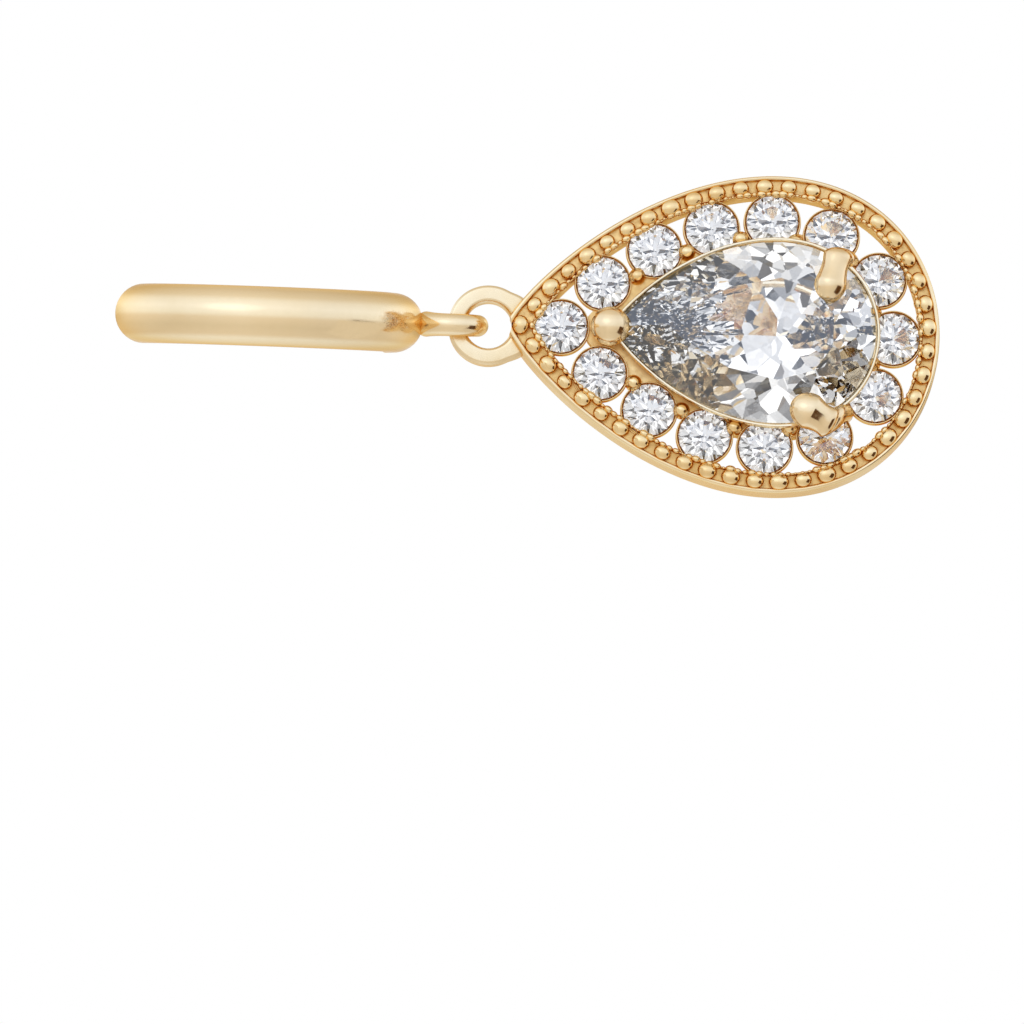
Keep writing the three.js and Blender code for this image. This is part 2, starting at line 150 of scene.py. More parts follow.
# Tent strips as polished metal facing the camera shows them: first across the earring, from -X to +X, then
# along it, from its foot to its top. A place is the lean of a mirror that would show the strip.
STRIPS_ACROSS = [
    (-1.0, (0.80, 0.80, 0.82)),
    (-0.90, (0.85, 0.91, 1.03)),
    (-0.74, (0.90, 1.00, 1.18)),
    (-0.62, (0.78, 0.77, 0.77)),
    (-0.34, (0.74, 0.73, 0.72)),
    (-0.06, (0.84, 0.84, 0.86)),
    (0.05, (0.98, 1.09, 1.30)),
    (0.28, (1.07, 1.22, 1.55)),
    (0.50, (0.99, 1.10, 1.32)),
    (0.64, (0.83, 0.84, 0.86)),
    (0.86, (0.70, 0.68, 0.66)),
    (1.0, (0.80, 0.80, 0.82)),
]
STRIPS_ALONG = [
    (-1.0, (0.74, 0.72, 0.68)),
    (-0.93, (0.84, 0.82, 0.78)),
    (-0.86, (1.10, 1.10, 1.10)),
    (-0.76, (1.08, 1.08, 1.08)),
    (-0.66, (0.95, 0.95, 0.95)),
    (-0.36, (0.92, 0.91, 0.90)),
    (-0.10, (1.0, 1.0, 1.0)),
    (0.16, (1.05, 1.05, 1.05)),
    (0.60, (0.95, 0.95, 0.95)),
    (0.80, (1.06, 1.06, 1.06)),
    (0.90, (1.10, 1.10, 1.10)),
    (1.0, (0.86, 0.84, 0.80)),
]
LEAST_SPAN = 0.0001
# The lamp behind the cloth: its lean, how far its glow reaches each way, where in that reach the glow fades
# out, and how much it adds
LAMP_LEAN = (0.26, 0.22)
LAMP_REACH = (0.13, 0.19)
LAMP_FADE = (0.35, 1.3)
LAMP_GLOW = (0.22, 0.25, 0.30, 1)
# What the stones gather instead: patches of the room, from dark gaps to lamps, and the white paper behind
# the earring, which takes over between these two depths of the view
PAPER_FROM = 0.05
PAPER_FULL = 0.35
PAPER_WHITE = (1.0, 1.0, 1.0, 1)
PATCH_SCALE = 5.2
PATCH_TONES = [
    (0.0, (0.012, 0.012, 0.015)),
    (0.12, (0.22, 0.22, 0.23)),
    (0.22, (0.47, 0.475, 0.485)),
    (0.38, (0.76, 0.765, 0.775)),
    (0.62, (1.02, 1.02, 1.02)),
    (0.84, (0.50, 0.74, 1.15)),
    (0.847, (1.35, 1.35, 1.35)),
]


def blend(tree, factor, first, second, kind="MIX"):
    """Mixes two colours or sockets."""
    node = tree.nodes.new("ShaderNodeMix")
    node.data_type = "RGBA"
    node.blend_type = kind
    for socket, value in zip((node.inputs[0], node.inputs[6], node.inputs[7]), (factor, first, second)):
        if isinstance(value, bpy.types.NodeSocket):
            tree.links.new(value, socket)
        else:
            socket.default_value = value
    return node.outputs[2]


def strips_on(tree, lean, rows):
    place = sums(tree, "MULTIPLY_ADD", lean, 0.5, 0.5)
    return ramp(tree, place, [(at / 2 + 0.5, colour) for at, colour in rows])


def light_tent():
    """Polished metal mirrors the strips, stones gather the patches, and camera and floor see white."""
    world = bpy.data.worlds.new("tent")
    bpy.context.scene.world = world
    world.use_nodes = True
    tree = world.node_tree
    tree.nodes.clear()
    direction = wire(tree, "ShaderNodeTexCoord").outputs["Generated"]
    parts = wire(tree, "ShaderNodeSeparateXYZ", Vector=direction)
    squared = sums(tree, "MULTIPLY_ADD", parts.outputs["Y"], -2.0, 2.0)
    span = sums(tree, "SQRT", sums(tree, "MAXIMUM", squared, LEAST_SPAN))
    lean_x = sums(tree, "DIVIDE", parts.outputs["X"], span)
    lean_z = sums(tree, "DIVIDE", parts.outputs["Z"], span)
    cloth = blend(tree, 1.0, strips_on(tree, lean_x, STRIPS_ACROSS), strips_on(tree, lean_z, STRIPS_ALONG),
                  "MULTIPLY")
    off_lamp = [sums(tree, "DIVIDE", sums(tree, "SUBTRACT", lean, middle), reach)
                for lean, middle, reach in zip((lean_x, lean_z), LAMP_LEAN, LAMP_REACH)]
    from_lamp = sums(tree, "ADD", *(sums(tree, "MULTIPLY", off, off) for off in off_lamp))
    glow = wire(tree, "ShaderNodeMapRange", Value=from_lamp, From_Min=LAMP_FADE[0], From_Max=LAMP_FADE[1],
                To_Min=1.0, To_Max=0.0)
    strips = blend(tree, glow.outputs["Result"], cloth, LAMP_GLOW, "ADD")
    cells = wire(tree, "ShaderNodeTexVoronoi", Vector=direction, Scale=PATCH_SCALE)
    tone = wire(tree, "ShaderNodeSeparateColor", Color=cells.outputs["Color"]).outputs["Red"]
    patches = ramp(tree, tone, PATCH_TONES, "CONSTANT")
    behind = wire(tree, "ShaderNodeMapRange", Value=parts.outputs["Y"], From_Min=PAPER_FROM,
                  From_Max=PAPER_FULL)
    room = blend(tree, behind.outputs["Result"], patches, PAPER_WHITE)
    light = wire(tree, "ShaderNodeLightPath")
    through = light.outputs["Is Transmission Ray"]
    tent = wire(tree, "ShaderNodeBackground", Color=blend(tree, through, strips, room), Strength=1.0)
    paper = wire(tree, "ShaderNodeBackground", Color=PAPER_WHITE, Strength=1.0)
    both = tree.nodes.new("ShaderNodeMixShader")
    plain = sums(tree, "MAXIMUM", light.outputs["Is Camera Ray"], light.outputs["Is Diffuse Ray"])
    tree.links.new(plain, both.inputs[0])
    tree.links.new(tent.outputs[0], both.inputs[1])
    tree.links.new(paper.outputs[0], both.inputs[2])
    wire(tree, "ShaderNodeOutputWorld", Surface=both.outputs[0])


def shaded(name, **values):
    """A material with one value for each named socket of its shader."""
    material = bpy.data.materials.new(name)
    material.use_nodes = True
    shader = material.node_tree.nodes["Principled BSDF"]
    for socket, value in values.items():
        shader.inputs[socket.replace("_", " ")].default_value = value
    return material


def lay_floor():
    low, _ = cad_box
    mesh = bpy.data.meshes.new("floor")
    sheet = bmesh.new()
    bmesh.ops.create_circle(sheet, cap_ends=True, segments=FLOOR_SIDES, radius=FLOOR_RADIUS)
    bmesh.ops.translate(sheet, verts=sheet.verts, vec=(0, 0, low.z - FLOOR_DROP))
    sheet.to_mesh(mesh)
    sheet.free()
    mesh.materials.append(shaded("paper", Base_Color=PAPER_COLOUR, Roughness=PAPER_ROUGHNESS))
    floor = placed("floor", mesh)
    floor.visible_glossy = False
    floor.visible_transmission = False


# Two cards hang out of the picture, where only polished metal mirrors them: a brown one that darkens one
# side of each grain and claw, and a pale one that keeps the brown one's reflection off the hoop. Places and
# half sizes are in millimetres.
CARDS = [
    {"name": "brown_card", "middle": (-12.4, -12.2, -50.9), "towards": (0, -1, -26),
     "half": (12, 12), "tone": (0.10, 0.05, 0.022)},
    {"name": "pale_card", "middle": (-5.1, -6.2, -14.2), "towards": (-5.1, -6.2, 0),
     "half": (4.7, 3.4), "tone": (0.77, 0.76, 0.75)},
]


def hang_card(row):
    middle = Vector(row["middle"]) * MM
    facing = (Vector(row["towards"]) * MM - middle).normalized()
    side = facing.cross(Vector((0, 1, 0))).normalized()
    run = facing.cross(side) * row["half"][1] * MM
    side *= row["half"][0] * MM
    mesh = bpy.data.meshes.new(row["name"])
    mesh.from_pydata([middle - side - run, middle + side - run, middle + side + run, middle - side + run],
                     [], [(0, 1, 2, 3)])
    mesh.materials.append(shaded(row["name"], Base_Color=(0, 0, 0, 1), Specular_IOR_Level=0.0,
                                 Emission_Color=(*row["tone"], 1), Emission_Strength=1.0))
    card = placed(row["name"], mesh)
    card.visible_camera = False
    card.visible_diffuse = False
    card.visible_transmission = False
    card.visible_shadow = False


place_camera()
light_tent()
lay_floor()
for row in CARDS:
    hang_card(row)
view = bpy.context.scene.view_settings
view.view_transform = "Standard"
view.look = "None"
# Light meets many facets before it leaves a stone
cycles = bpy.context.scene.cycles
cycles.max_bounces = 24
cycles.transmission_bounces = 20
cycles.glossy_bounces = 12


# Hoop front: the visible bow, a half-round bar of pale yellow gold drawn and bent round, then polished.
# Its tail runs on under the eye to the hidden joint, and the post of the rear arm enters its tip. Angles
# are in degrees from the hoop's top towards the back.
HOOP_OUTER = 5.95 * MM
HOOP_WIDTH = 2.28 * MM
HOOP_THICK = 1.6 * MM
FRONT_TIP = -8
FRONT_TAIL = -200
TIP_ROUNDING = 5.0
TIP_STEPS = 8
TIP_SHARE = 0.45
BAR_ROUNDNESS = 0.7
BAR_SIDES = 40
DEGREES_A_RING = 2
SWELL_HEIGHT = 0.02 * MM
MARK_HEIGHT = 0.004 * MM
RECESS_REACH = 0.5 * MM
RECESS_SAMPLES = 6
hoop_path = HOOP_OUTER - HOOP_THICK / 2
hoop_centre = Vector((0, 0, -hoop_path))


def skin(name, rings, closed=False):
    """A mesh through rings of equal count, capped at both ends unless it closes on itself."""
    count = len(rings[0])
    points = [point for ring in rings for point in ring]
    faces = []
    for i in range(len(rings) if closed else len(rings) - 1):
        j = (i + 1) % len(rings)
        for k in range(count):
            n = (k + 1) % count
            faces.append((i * count + k, i * count + n, j * count + n, j * count + k))
    if not closed:
        faces.append(tuple(reversed(range(count))))
        faces.append(tuple(range((len(rings) - 1) * count, len(rings) * count)))
    mesh = bpy.data.meshes.new(name)
    mesh.from_pydata(points, [], faces)
    shape = bmesh.new()
    shape.from_mesh(mesh)
    bmesh.ops.recalc_face_normals(shape, faces=shape.faces)
    shape.to_mesh(mesh)
    shape.free()
    return mesh


def piece(mesh, material, body, sharp=38):
    """Puts a finished mesh in the scene as one piece of the earring."""
    mesh.materials.clear()
    mesh.materials.append(material)
    mesh.shade_smooth()
    mesh.set_sharp_from_angle(angle=math.radians(sharp))
    thing = placed(mesh.name, mesh)
    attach(thing, body)
    return thing


def polished_gold(name, colour, shade, roughness, wave=0.02, grain=0.006, recess_shade=None):
    """Pale yellow gold: slow drifts of colour, fine polishing marks, the soft waves of hand finishing, and
    painted shade in recesses, found by ambient occlusion, which also stands for the deeper as-cast tone
    where the polishing wheel can't reach."""
    material = shaded(name, Metallic=1.0, Specular_Tint=(*colour, 1))
    tree = material.node_tree
    shader = tree.nodes["Principled BSDF"]
    place = wire(tree, "ShaderNodeTexCoord").outputs["Object"]
    drift = wire(tree, "ShaderNodeTexNoise", Vector=place, Scale=420.0, Detail=3.0, Roughness=0.55)
    tint = ramp(tree, drift.outputs["Fac"], [(0.3, shade), (0.62, colour)])
    # Painted shade: where ambient occlusion finds a recess, the colour turns to the darker recess shade
    # gold
    if recess_shade:
        depth = wire(tree, "ShaderNodeAmbientOcclusion", Distance=RECESS_REACH)
        depth.samples = RECESS_SAMPLES
        out_of_shade = wire(tree, "ShaderNodeMapRange", Value=depth.outputs["AO"], From_Min=0.2, From_Max=0.8)
        tint = blend(tree, out_of_shade.outputs["Result"], (*recess_shade, 1), tint)
    tree.links.new(tint, shader.inputs["Base Color"])
    marks = wire(tree, "ShaderNodeTexNoise", Vector=place, Scale=5200.0, Detail=4.0, Roughness=0.6)
    rough = wire(tree, "ShaderNodeMapRange", Value=marks.outputs["Fac"], From_Min=0.3, From_Max=0.7,
                 To_Min=roughness * 0.7, To_Max=roughness * 1.5)
    tree.links.new(rough.outputs["Result"], shader.inputs["Roughness"])
    swell = wire(tree, "ShaderNodeTexNoise", Vector=place, Scale=900.0, Detail=2.0, Roughness=0.5)
    slow = wire(tree, "ShaderNodeBump", Height=swell.outputs["Fac"], Strength=wave * 10,
                Distance=SWELL_HEIGHT)
    fine = wire(tree, "ShaderNodeBump", Height=marks.outputs["Fac"], Strength=grain * 10,
                Distance=MARK_HEIGHT, Normal=slow.outputs["Normal"])
    tree.links.new(fine.outputs["Normal"], shader.inputs["Normal"])
    return material


def hoop_ring(angle, width, thick, scale=1.0, sides=BAR_SIDES):
    """The bar's section at an angle from the hoop's top to the back: round outside, flatter inside."""
    turn = math.radians(angle)
    outward = Vector((0, math.sin(turn), math.cos(turn)))
    outer = min(width / 2, thick * BAR_ROUNDNESS)
    inner = thick - outer
    lift = thick / 2 - outer
    ring = []
    for i in range(sides):
        a = 2 * math.pi * i / sides
        height = lift + math.cos(a) * (outer if math.cos(a) > 0 else inner)
        ring.append(hoop_centre + outward * (hoop_path + height * scale)
                    + Vector((math.sin(a) * width / 2 * scale, 0, 0)))
    return ring


def hoop_bar(name, start, stop, width, thick, rounding):
    """A bent bar whose first end is rounded over."""
    way = math.copysign(1, stop - start)
    rings = []
    for i in range(1, TIP_STEPS + 1):
        bow = math.radians(90 * i / TIP_STEPS)
        share = TIP_SHARE + (1 - TIP_SHARE) * math.sin(bow)
        rings.append(hoop_ring(start + way * rounding * (1 - math.cos(bow)), width, thick, share))
    steps = round(abs(stop - start) / DEGREES_A_RING)
    first = start + way * rounding
    rings += [hoop_ring(first + (stop - first) * i / steps, width, thick) for i in range(1, steps + 1)]
    return skin(name, rings)


bar_gold = polished_gold("bar_gold", (0.935, 0.725, 0.43), (0.92, 0.70, 0.40), 0.17, wave=0.012,
                         grain=0.003)
hoop_front = piece(hoop_bar("hoop_bar", FRONT_TIP, FRONT_TAIL, HOOP_WIDTH, HOOP_THICK, TIP_ROUNDING),
                   bar_gold, "hoop")
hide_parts("hoop_front")


# Eye: a small ring of round wire, soldered under the hoop in the hoop's own plane. Its foot is swelled by
# the solder where it meets the bar.
EYE_WIRE = 0.84 * MM
EYE_HOLE = 1.12 * MM
EYE_SUNK = 0.29 * MM
SOLDER_SWELL = 0.14 * MM
EYE_STEPS = 72
WIRE_SIDES = 28
eye_radius = (EYE_HOLE + EYE_WIRE) / 2
eye_centre = hoop_centre - Vector((0, 0, HOOP_OUTER - EYE_SUNK + eye_radius + EYE_WIRE / 2))


def eye_mesh():
    rings = []
    for i in range(EYE_STEPS):
        a = 2 * math.pi * i / EYE_STEPS
        outward = Vector((0, math.sin(a), math.cos(a)))
        swell = SOLDER_SWELL * max(0.0, math.cos(a)) ** 3
        ring = []
        for k in range(WIRE_SIDES):
            b = 2 * math.pi * k / WIRE_SIDES
            reach = EYE_WIRE / 2 * math.cos(b)
            side = (EYE_WIRE + swell) / 2 * math.sin(b)
            ring.append(eye_centre + outward * (eye_radius + reach) + Vector((side, 0, 0)))
        rings.append(ring)
    return skin("hoop_eye", rings, closed=True)


eye = piece(eye_mesh(), bar_gold, "hoop")
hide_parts("hoop_front")


# Hoop back: the hidden rear arm and its post, one plain bent piece of the same gold. A tongue at its foot
# sits in the tail of the front, and the post passes through the ear and into the front's tip.
ARM_LOW = 159
ARM_HIGH = 32
ARM_WIDTH = 1.9 * MM
ARM_THICK = 1.3 * MM
POST_WIRE = 0.9 * MM
POST_IN_SOCKET = 7.0
POST_IN_ARM = 4
POST_STEPS = 40
POST_NOSE = 0.6
POST_NOSE_STEP = 0.2
TONGUE_SHARE = 0.62
TONGUE_REACH = 7
TONGUE_SIDES = 24


def post_mesh():
    rings = []
    start, stop = FRONT_TIP - POST_IN_SOCKET, ARM_HIGH + POST_IN_ARM
    for i in range(POST_STEPS + 1):
        turn = math.radians(start + (stop - start) * i / POST_STEPS)
        outward = Vector((0, math.sin(turn), math.cos(turn)))
        radius = POST_WIRE / 2 * min(1.0, POST_NOSE + POST_NOSE_STEP * i)
        rings.append([hoop_centre + outward * (hoop_path + radius * math.cos(a))
                      + Vector((radius * math.sin(a), 0, 0))
                      for a in (2 * math.pi * k / WIRE_SIDES for k in range(WIRE_SIDES))])
    return skin("hoop_post", rings)


back_arm = piece(hoop_bar("hoop_arm", ARM_HIGH, ARM_LOW, ARM_WIDTH, ARM_THICK, TIP_ROUNDING),
                 bar_gold, "hoop")
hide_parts("hoop_back")
post = piece(post_mesh(), bar_gold, "hoop")
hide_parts("hoop_back")
tongue_rings = [
    hoop_ring(ARM_LOW + turn, ARM_WIDTH * TONGUE_SHARE, ARM_THICK * TONGUE_SHARE, sides=TONGUE_SIDES)
    for turn in range(-TONGUE_REACH, TONGUE_REACH + 1)]
tongue = piece(skin("hoop_tongue", tongue_rings), bar_gold, "hoop")
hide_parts("hoop_back")


# Bail: the flat-faced ring cast on the drop's point, with bevelled edges, that hangs on the eye.
# From here on each piece is made in the drop's own place, then turned with it on the eye.
BAIL_HOLE = 1.78 * MM
BAIL_BAND = 0.65 * MM
BAIL_DEPTH = 0.78 * MM
BAIL_PLAY = 0.05 * MM
BAIL_FLARE = 0.2 * MM
BAIL_FLARE_FROM = 62
BAIL_FLARE_OVER = 30
BAIL_SIDES = 120
BAIL_BORE_SIDES = 96
BAIL_EASE = 0.06
EASE_MOST = 0.45
# The band's section: shares of the way out from the hole, and of half the band's depth
BAIL_SECTION = [(0, 0.55), (0, -0.55), (0.10, -0.92), (0.2, -1), (0.86, -1),
                (1, -0.72), (1, 0.72), (0.86, 1), (0.2, 1), (0.10, 0.92)]
BORE_REACH = 2 * MM
# The colour of the painted shade laid into the recesses of the cast gold
RECESS_SHADE_GOLD = (0.75, 0.44, 0.14)
DROP_TURN = math.radians(8)
pivot = Vector(frame["joints"][0]["pos_m"])
bail_centre = Vector((0, 0, EYE_WIRE / 2 + BAIL_PLAY - BAIL_HOLE / 2))
drop_place = Matrix.Translation(pivot) @ Matrix.Rotation(DROP_TURN, 4, "Z")


def hung(mesh):
    """Moves a mesh from the drop's own place to where the drop hangs."""
    mesh.transform(drop_place)
    return mesh


def eased(corners, radius, steps=4):
    """A closed outline of [across, depth] corners with each corner rounded."""
    points = []
    count = len(corners)
    for i, corner in enumerate(corners):
        here = Vector(corner)
        before = Vector(corners[i - 1]) - here
        after = Vector(corners[(i + 1) % count]) - here
        cut = min(radius, before.length * EASE_MOST, after.length * EASE_MOST)
        start, stop = here + before.normalized() * cut, here + after.normalized() * cut
        for k in range(steps + 1):
            f = k / steps
            points.append(start.lerp(here, f).lerp(here.lerp(stop, f), f))
    return points


def bail_mesh():
    """A flat band between the round hole and an outer edge that flares where it meets the rim."""
    inner = BAIL_HOLE / 2
    outline = eased([(share, depth * BAIL_DEPTH / 2) for share, depth in BAIL_SECTION], BAIL_EASE)
    rings = []
    for i in range(BAIL_SIDES):
        a = 2 * math.pi * i / BAIL_SIDES
        from_foot = abs(math.degrees(a) - 180)
        flare = max(0.0, min(1.0, (BAIL_FLARE_FROM - from_foot) / BAIL_FLARE_OVER))
        outer = inner + BAIL_BAND + BAIL_FLARE * flare * flare * (3 - 2 * flare)
        rings.append([bail_centre + Vector((r * math.sin(a), y, r * math.cos(a)))
                      for r, y in ((inner + share * (outer - inner), y) for share, y in outline)])
    return skin("bail_ring", rings, closed=True)


def bore(centre, radius, sides):
    """A round cutter through the drop along its depth."""
    rings = [[centre + Vector((radius * math.sin(a), depth, radius * math.cos(a)))
              for a in (2 * math.pi * k / sides for k in range(sides))]
             for depth in (-BORE_REACH, BORE_REACH)]
    return skin("bore", rings)


def cut_away(mesh, cutter_meshes):
    """Takes other closed meshes out of one."""
    target = placed("target", mesh)
    cutters = []
    for cutter_mesh in cutter_meshes:
        cutter = placed("cutter", cutter_mesh)
        modifier = target.modifiers.new("cut", "BOOLEAN")
        modifier.object = cutter
        modifier.operation = "DIFFERENCE"
        modifier.solver = "EXACT"
        modifier.use_self = True
        cutters.append(cutter)
    bpy.context.view_layer.update()
    ready = target.evaluated_get(bpy.context.evaluated_depsgraph_get())
    result = bpy.data.meshes.new_from_object(ready)
    name = mesh.name
    for thing in [target, *cutters]:
        bpy.data.objects.remove(thing)
    bpy.data.meshes.remove(mesh)
    result.name = name
    return result


cast_gold = polished_gold("cast_gold", (0.93, 0.74, 0.46), (0.90, 0.68, 0.38), 0.2, wave=0.05,
                          recess_shade=RECESS_SHADE_GOLD)
bail = piece(hung(bail_mesh()), cast_gold, "drop")
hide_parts("drop_setting")


# Rim: the pear-shaped outer wall of the drop, cast in one with the rest. Its outside and flange are
# polished; the sunk channel for the grains and the inner wall are left as cast and rougher, and their
# deeper colour is painted shade for the recess they sit in. Nested pears, from the centre stone outwards,
# lay out the whole drop.
STONE_LENGTH = 10 * MM
STONE_WIDTH = 7 * MM
STONE_MIDDLE = 0.6
ACCENT = 2.0 * MM
SEAT_GAP = 0.05 * MM
CUP_WALL = 0.1 * MM
CUP_BITE = 0.14 * MM
CUP_SPACING = 0.03 * MM
TUCK_SIDE = 0.28 * MM
TUCK_END = 0.46 * MM
POINT_GAP = 2.03 * MM
RIM_WALL = 0.76 * MM
RIM_POINT_WALL = 1.15 * MM
RIM_FRONT = -0.72 * MM
RIM_BACK = 0.72 * MM
NECK_OVERLAP = 0.92 * MM
CHANNEL_FRONT = RIM_FRONT + 0.22 * MM
RIM_EASE = 0.03
RIM_STEPS = 200
PEAR_POWER = 0.638
peak = 2 * ((PEAR_POWER + 1) / (PEAR_POWER + 2)) ** ((PEAR_POWER + 1) / 2) / math.sqrt(PEAR_POWER + 2)


def inset(pear, side, point=None, end=None):
    """A pear [top, length, width] drawn in by one wall at the sides, its point and its round end."""
    top, length, width = pear
    point = side if point is None else point
    end = side if end is None else end
    return (top + point, length - point - end, width - 2 * side)


def pear_point(pear, t, depth=0.0):
    """A place on a pear: t is 0 at its point and pi at its round end."""
    top, length, width = pear
    across = width / 2 * math.sin(t) * abs(math.sin(t / 2)) ** PEAR_POWER / peak
    down = top + length * (1 - math.cos(t)) / 2
    return Vector((across, depth, bail_centre.z - down))


cup_radius = ACCENT / 2 + SEAT_GAP + CUP_WALL
stone_pear = (0.0, STONE_LENGTH, STONE_WIDTH)
halo_line = inset(stone_pear, TUCK_SIDE - cup_radius, -POINT_GAP, TUCK_END - cup_radius)
rim_inner = inset(halo_line, CUP_BITE - cup_radius)
rim_outer = inset(rim_inner, -RIM_WALL, -RIM_POINT_WALL)
lowering = BAIL_HOLE / 2 + BAIL_BAND - NECK_OVERLAP - rim_outer[0]
stone_pear, halo_line, rim_inner, rim_outer = (
    (top + lowering, length, width) for top, length, width in (stone_pear, halo_line, rim_inner, rim_outer))


def pear_band(name, outer, inner, outline, steps=RIM_STEPS):
    """A band round the drop: the outline gives [share of the way from outer to inner pear, depth]."""
    rings = []
    for i in range(steps):
        t = 2 * math.pi * i / steps
        start, stop = pear_point(outer, t), pear_point(inner, t)
        rings.append([start.lerp(stop, share) + Vector((0, depth, 0)) for share, depth in outline])
    return skin(name, rings, closed=True)


rim_gold = polished_gold("rim_gold", (0.94, 0.74, 0.44), (0.90, 0.65, 0.33), 0.2, wave=0.07,
                         recess_shade=RECESS_SHADE_GOLD)
# Painted shade: the as-cast gold of the channel, inner wall and web is darker, to stand for shade in those
# recesses
raw_gold = polished_gold("raw_gold", (0.90, 0.63, 0.29), (0.83, 0.53, 0.20), 0.36, wave=0.16, grain=0.03,
                         recess_shade=RECESS_SHADE_GOLD)
flange = eased([
    (0, RIM_BACK), (0, RIM_FRONT + 0.16 * MM), (0.05, RIM_FRONT + 0.03 * MM), (0.12, RIM_FRONT),
    (0.21, RIM_FRONT + 0.03 * MM), (0.26, RIM_FRONT + 0.12 * MM), (0.27, RIM_BACK),
], RIM_EASE, 3)
channel = eased([
    (0.25, RIM_BACK - 0.03 * MM), (0.25, CHANNEL_FRONT), (0.86, CHANNEL_FRONT), (0.9, RIM_FRONT + 0.1 * MM),
    (0.97, RIM_FRONT + 0.1 * MM), (1, RIM_FRONT + 0.18 * MM), (1, RIM_BACK - 0.03 * MM),
], RIM_EASE, 3)
for name, outline, gold in (("pear_rim", flange, rim_gold), ("rim_channel", channel, raw_gold)):
    opening = bore(bail_centre, BAIL_HOLE / 2, BAIL_BORE_SIDES)
    band = cut_away(pear_band(name, rim_outer, rim_inner, outline), [opening])
    rim = piece(hung(band), gold, "drop")
    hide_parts("drop_setting")


# Milgrain: a row of small raised grains rolled along the rim's face, of the same gold. Each is a little
# longer than wide, lies along the rim, and differs slightly from the next as hand work does. The edge of
# the rolling wheel leaves fine crumbs on the inner side.
GRAIN_PITCH = 0.92 * MM
GRAIN_LENGTH = 0.72 * MM
GRAIN_WIDTH = 0.58 * MM
GRAIN_HEIGHT = 0.58 * MM
GRAIN_DEPTH = -0.64 * MM
GRAIN_IN = 0.43 * MM
GRAIN_POINT_IN = 0.62 * MM
GRAIN_SIDES = 24
GRAIN_RINGS = 14
GRAIN_LINE_STEPS = 400
CRUMB_PITCH = GRAIN_PITCH * 0.3
CRUMB_LENGTH = GRAIN_LENGTH * 0.4
CRUMB_WIDTH = GRAIN_WIDTH * 0.36
CRUMB_HEIGHT = GRAIN_HEIGHT * 0.55
CRUMB_DEPTH = RIM_FRONT + 0.08 * MM
CRUMB_IN = 0.71 * MM
CRUMB_POINT_IN = CRUMB_IN * 1.45


def new_tree(name, inputs):
    """An empty geometry tree with a mesh in, a mesh out and named number or object inputs."""
    tree = bpy.data.node_groups.new(name, "GeometryNodeTree")
    tree.interface.new_socket("Geometry", in_out="INPUT", socket_type="NodeSocketGeometry")
    for label, kind in inputs:
        tree.interface.new_socket(label, in_out="INPUT", socket_type=kind)
    tree.interface.new_socket("Geometry", in_out="OUTPUT", socket_type="NodeSocketGeometry")
    return tree, tree.nodes.new("NodeGroupInput"), tree.nodes.new("NodeGroupOutput")


def grown(name, start_mesh, tree, values):
    """Runs a geometry tree on a mesh and keeps the result as a plain mesh."""
    holder = placed(name, start_mesh)
    modifier = holder.modifiers.new(name, "NODES")
    modifier.node_group = tree
    sockets = {item.name: item.identifier for item in tree.interface.items_tree if item.in_out == "INPUT"}
    for label, value in values.items():
        modifier[sockets[label]] = value
    bpy.context.view_layer.update()
    ready = holder.evaluated_get(bpy.context.evaluated_depsgraph_get())
    result = bpy.data.meshes.new_from_object(ready)
    result.name = name
    bpy.data.objects.remove(holder)
    return result


def random_number(tree, low, high, seed):
    chance = tree.nodes.new("FunctionNodeRandomValue")
    chance.data_type = "FLOAT"
    tree.links.new(low, chance.inputs[2])
    tree.links.new(high, chance.inputs[3])
    tree.links.new(seed, chance.inputs["Seed"])
    return chance.outputs[1]


def grain_tree(material):
    """Sets uneven grains along the line that it is given, each turned to lie along it."""
    number = "NodeSocketFloat"
    tree, entry, end = new_tree("grain_row", [
        ("Pitch", number), ("Length", number), ("Width", number), ("Height", number),
        ("Unevenness", number), ("Seed", "NodeSocketInt")])
    line = wire(tree, "GeometryNodeMeshToCurve", Mesh=entry.outputs["Geometry"])
    length = wire(tree, "GeometryNodeCurveLength", Curve=line.outputs["Curve"])
    share = sums(tree, "DIVIDE", length.outputs["Length"], entry.outputs["Pitch"])
    count = sums(tree, "ROUND", share)
    places = wire(tree, "GeometryNodeResampleCurve", Curve=line.outputs["Curve"], Count=count)
    tangent = wire(tree, "GeometryNodeInputTangent")
    facing = wire(tree, "FunctionNodeAlignRotationToVector", Vector=tangent.outputs["Tangent"])
    facing.axis = "X"
    size = wire(tree, "ShaderNodeCombineXYZ", X=entry.outputs["Length"], Y=entry.outputs["Height"],
                Z=entry.outputs["Width"])
    low = sums(tree, "SUBTRACT", 1.0, entry.outputs["Unevenness"])
    high = sums(tree, "ADD", 1.0, entry.outputs["Unevenness"])
    growth = random_number(tree, low, high, entry.outputs["Seed"])
    scaled = wire(tree, "ShaderNodeVectorMath", _0=size.outputs["Vector"])
    scaled.operation = "SCALE"
    tree.links.new(growth, scaled.inputs["Scale"])
    grain = wire(tree, "GeometryNodeMeshUVSphere", Segments=GRAIN_SIDES, Rings=GRAIN_RINGS, Radius=0.5)
    row = wire(tree, "GeometryNodeInstanceOnPoints", Points=places.outputs["Curve"],
               Instance=grain.outputs["Mesh"], Rotation=facing.outputs["Rotation"],
               Scale=scaled.outputs["Vector"])
    real = wire(tree, "GeometryNodeRealizeInstances", Geometry=row.outputs["Instances"])
    gilded = wire(tree, "GeometryNodeSetMaterial", Geometry=real.outputs["Geometry"], Material=material)
    tree.links.new(gilded.outputs["Geometry"], end.inputs["Geometry"])
    return tree


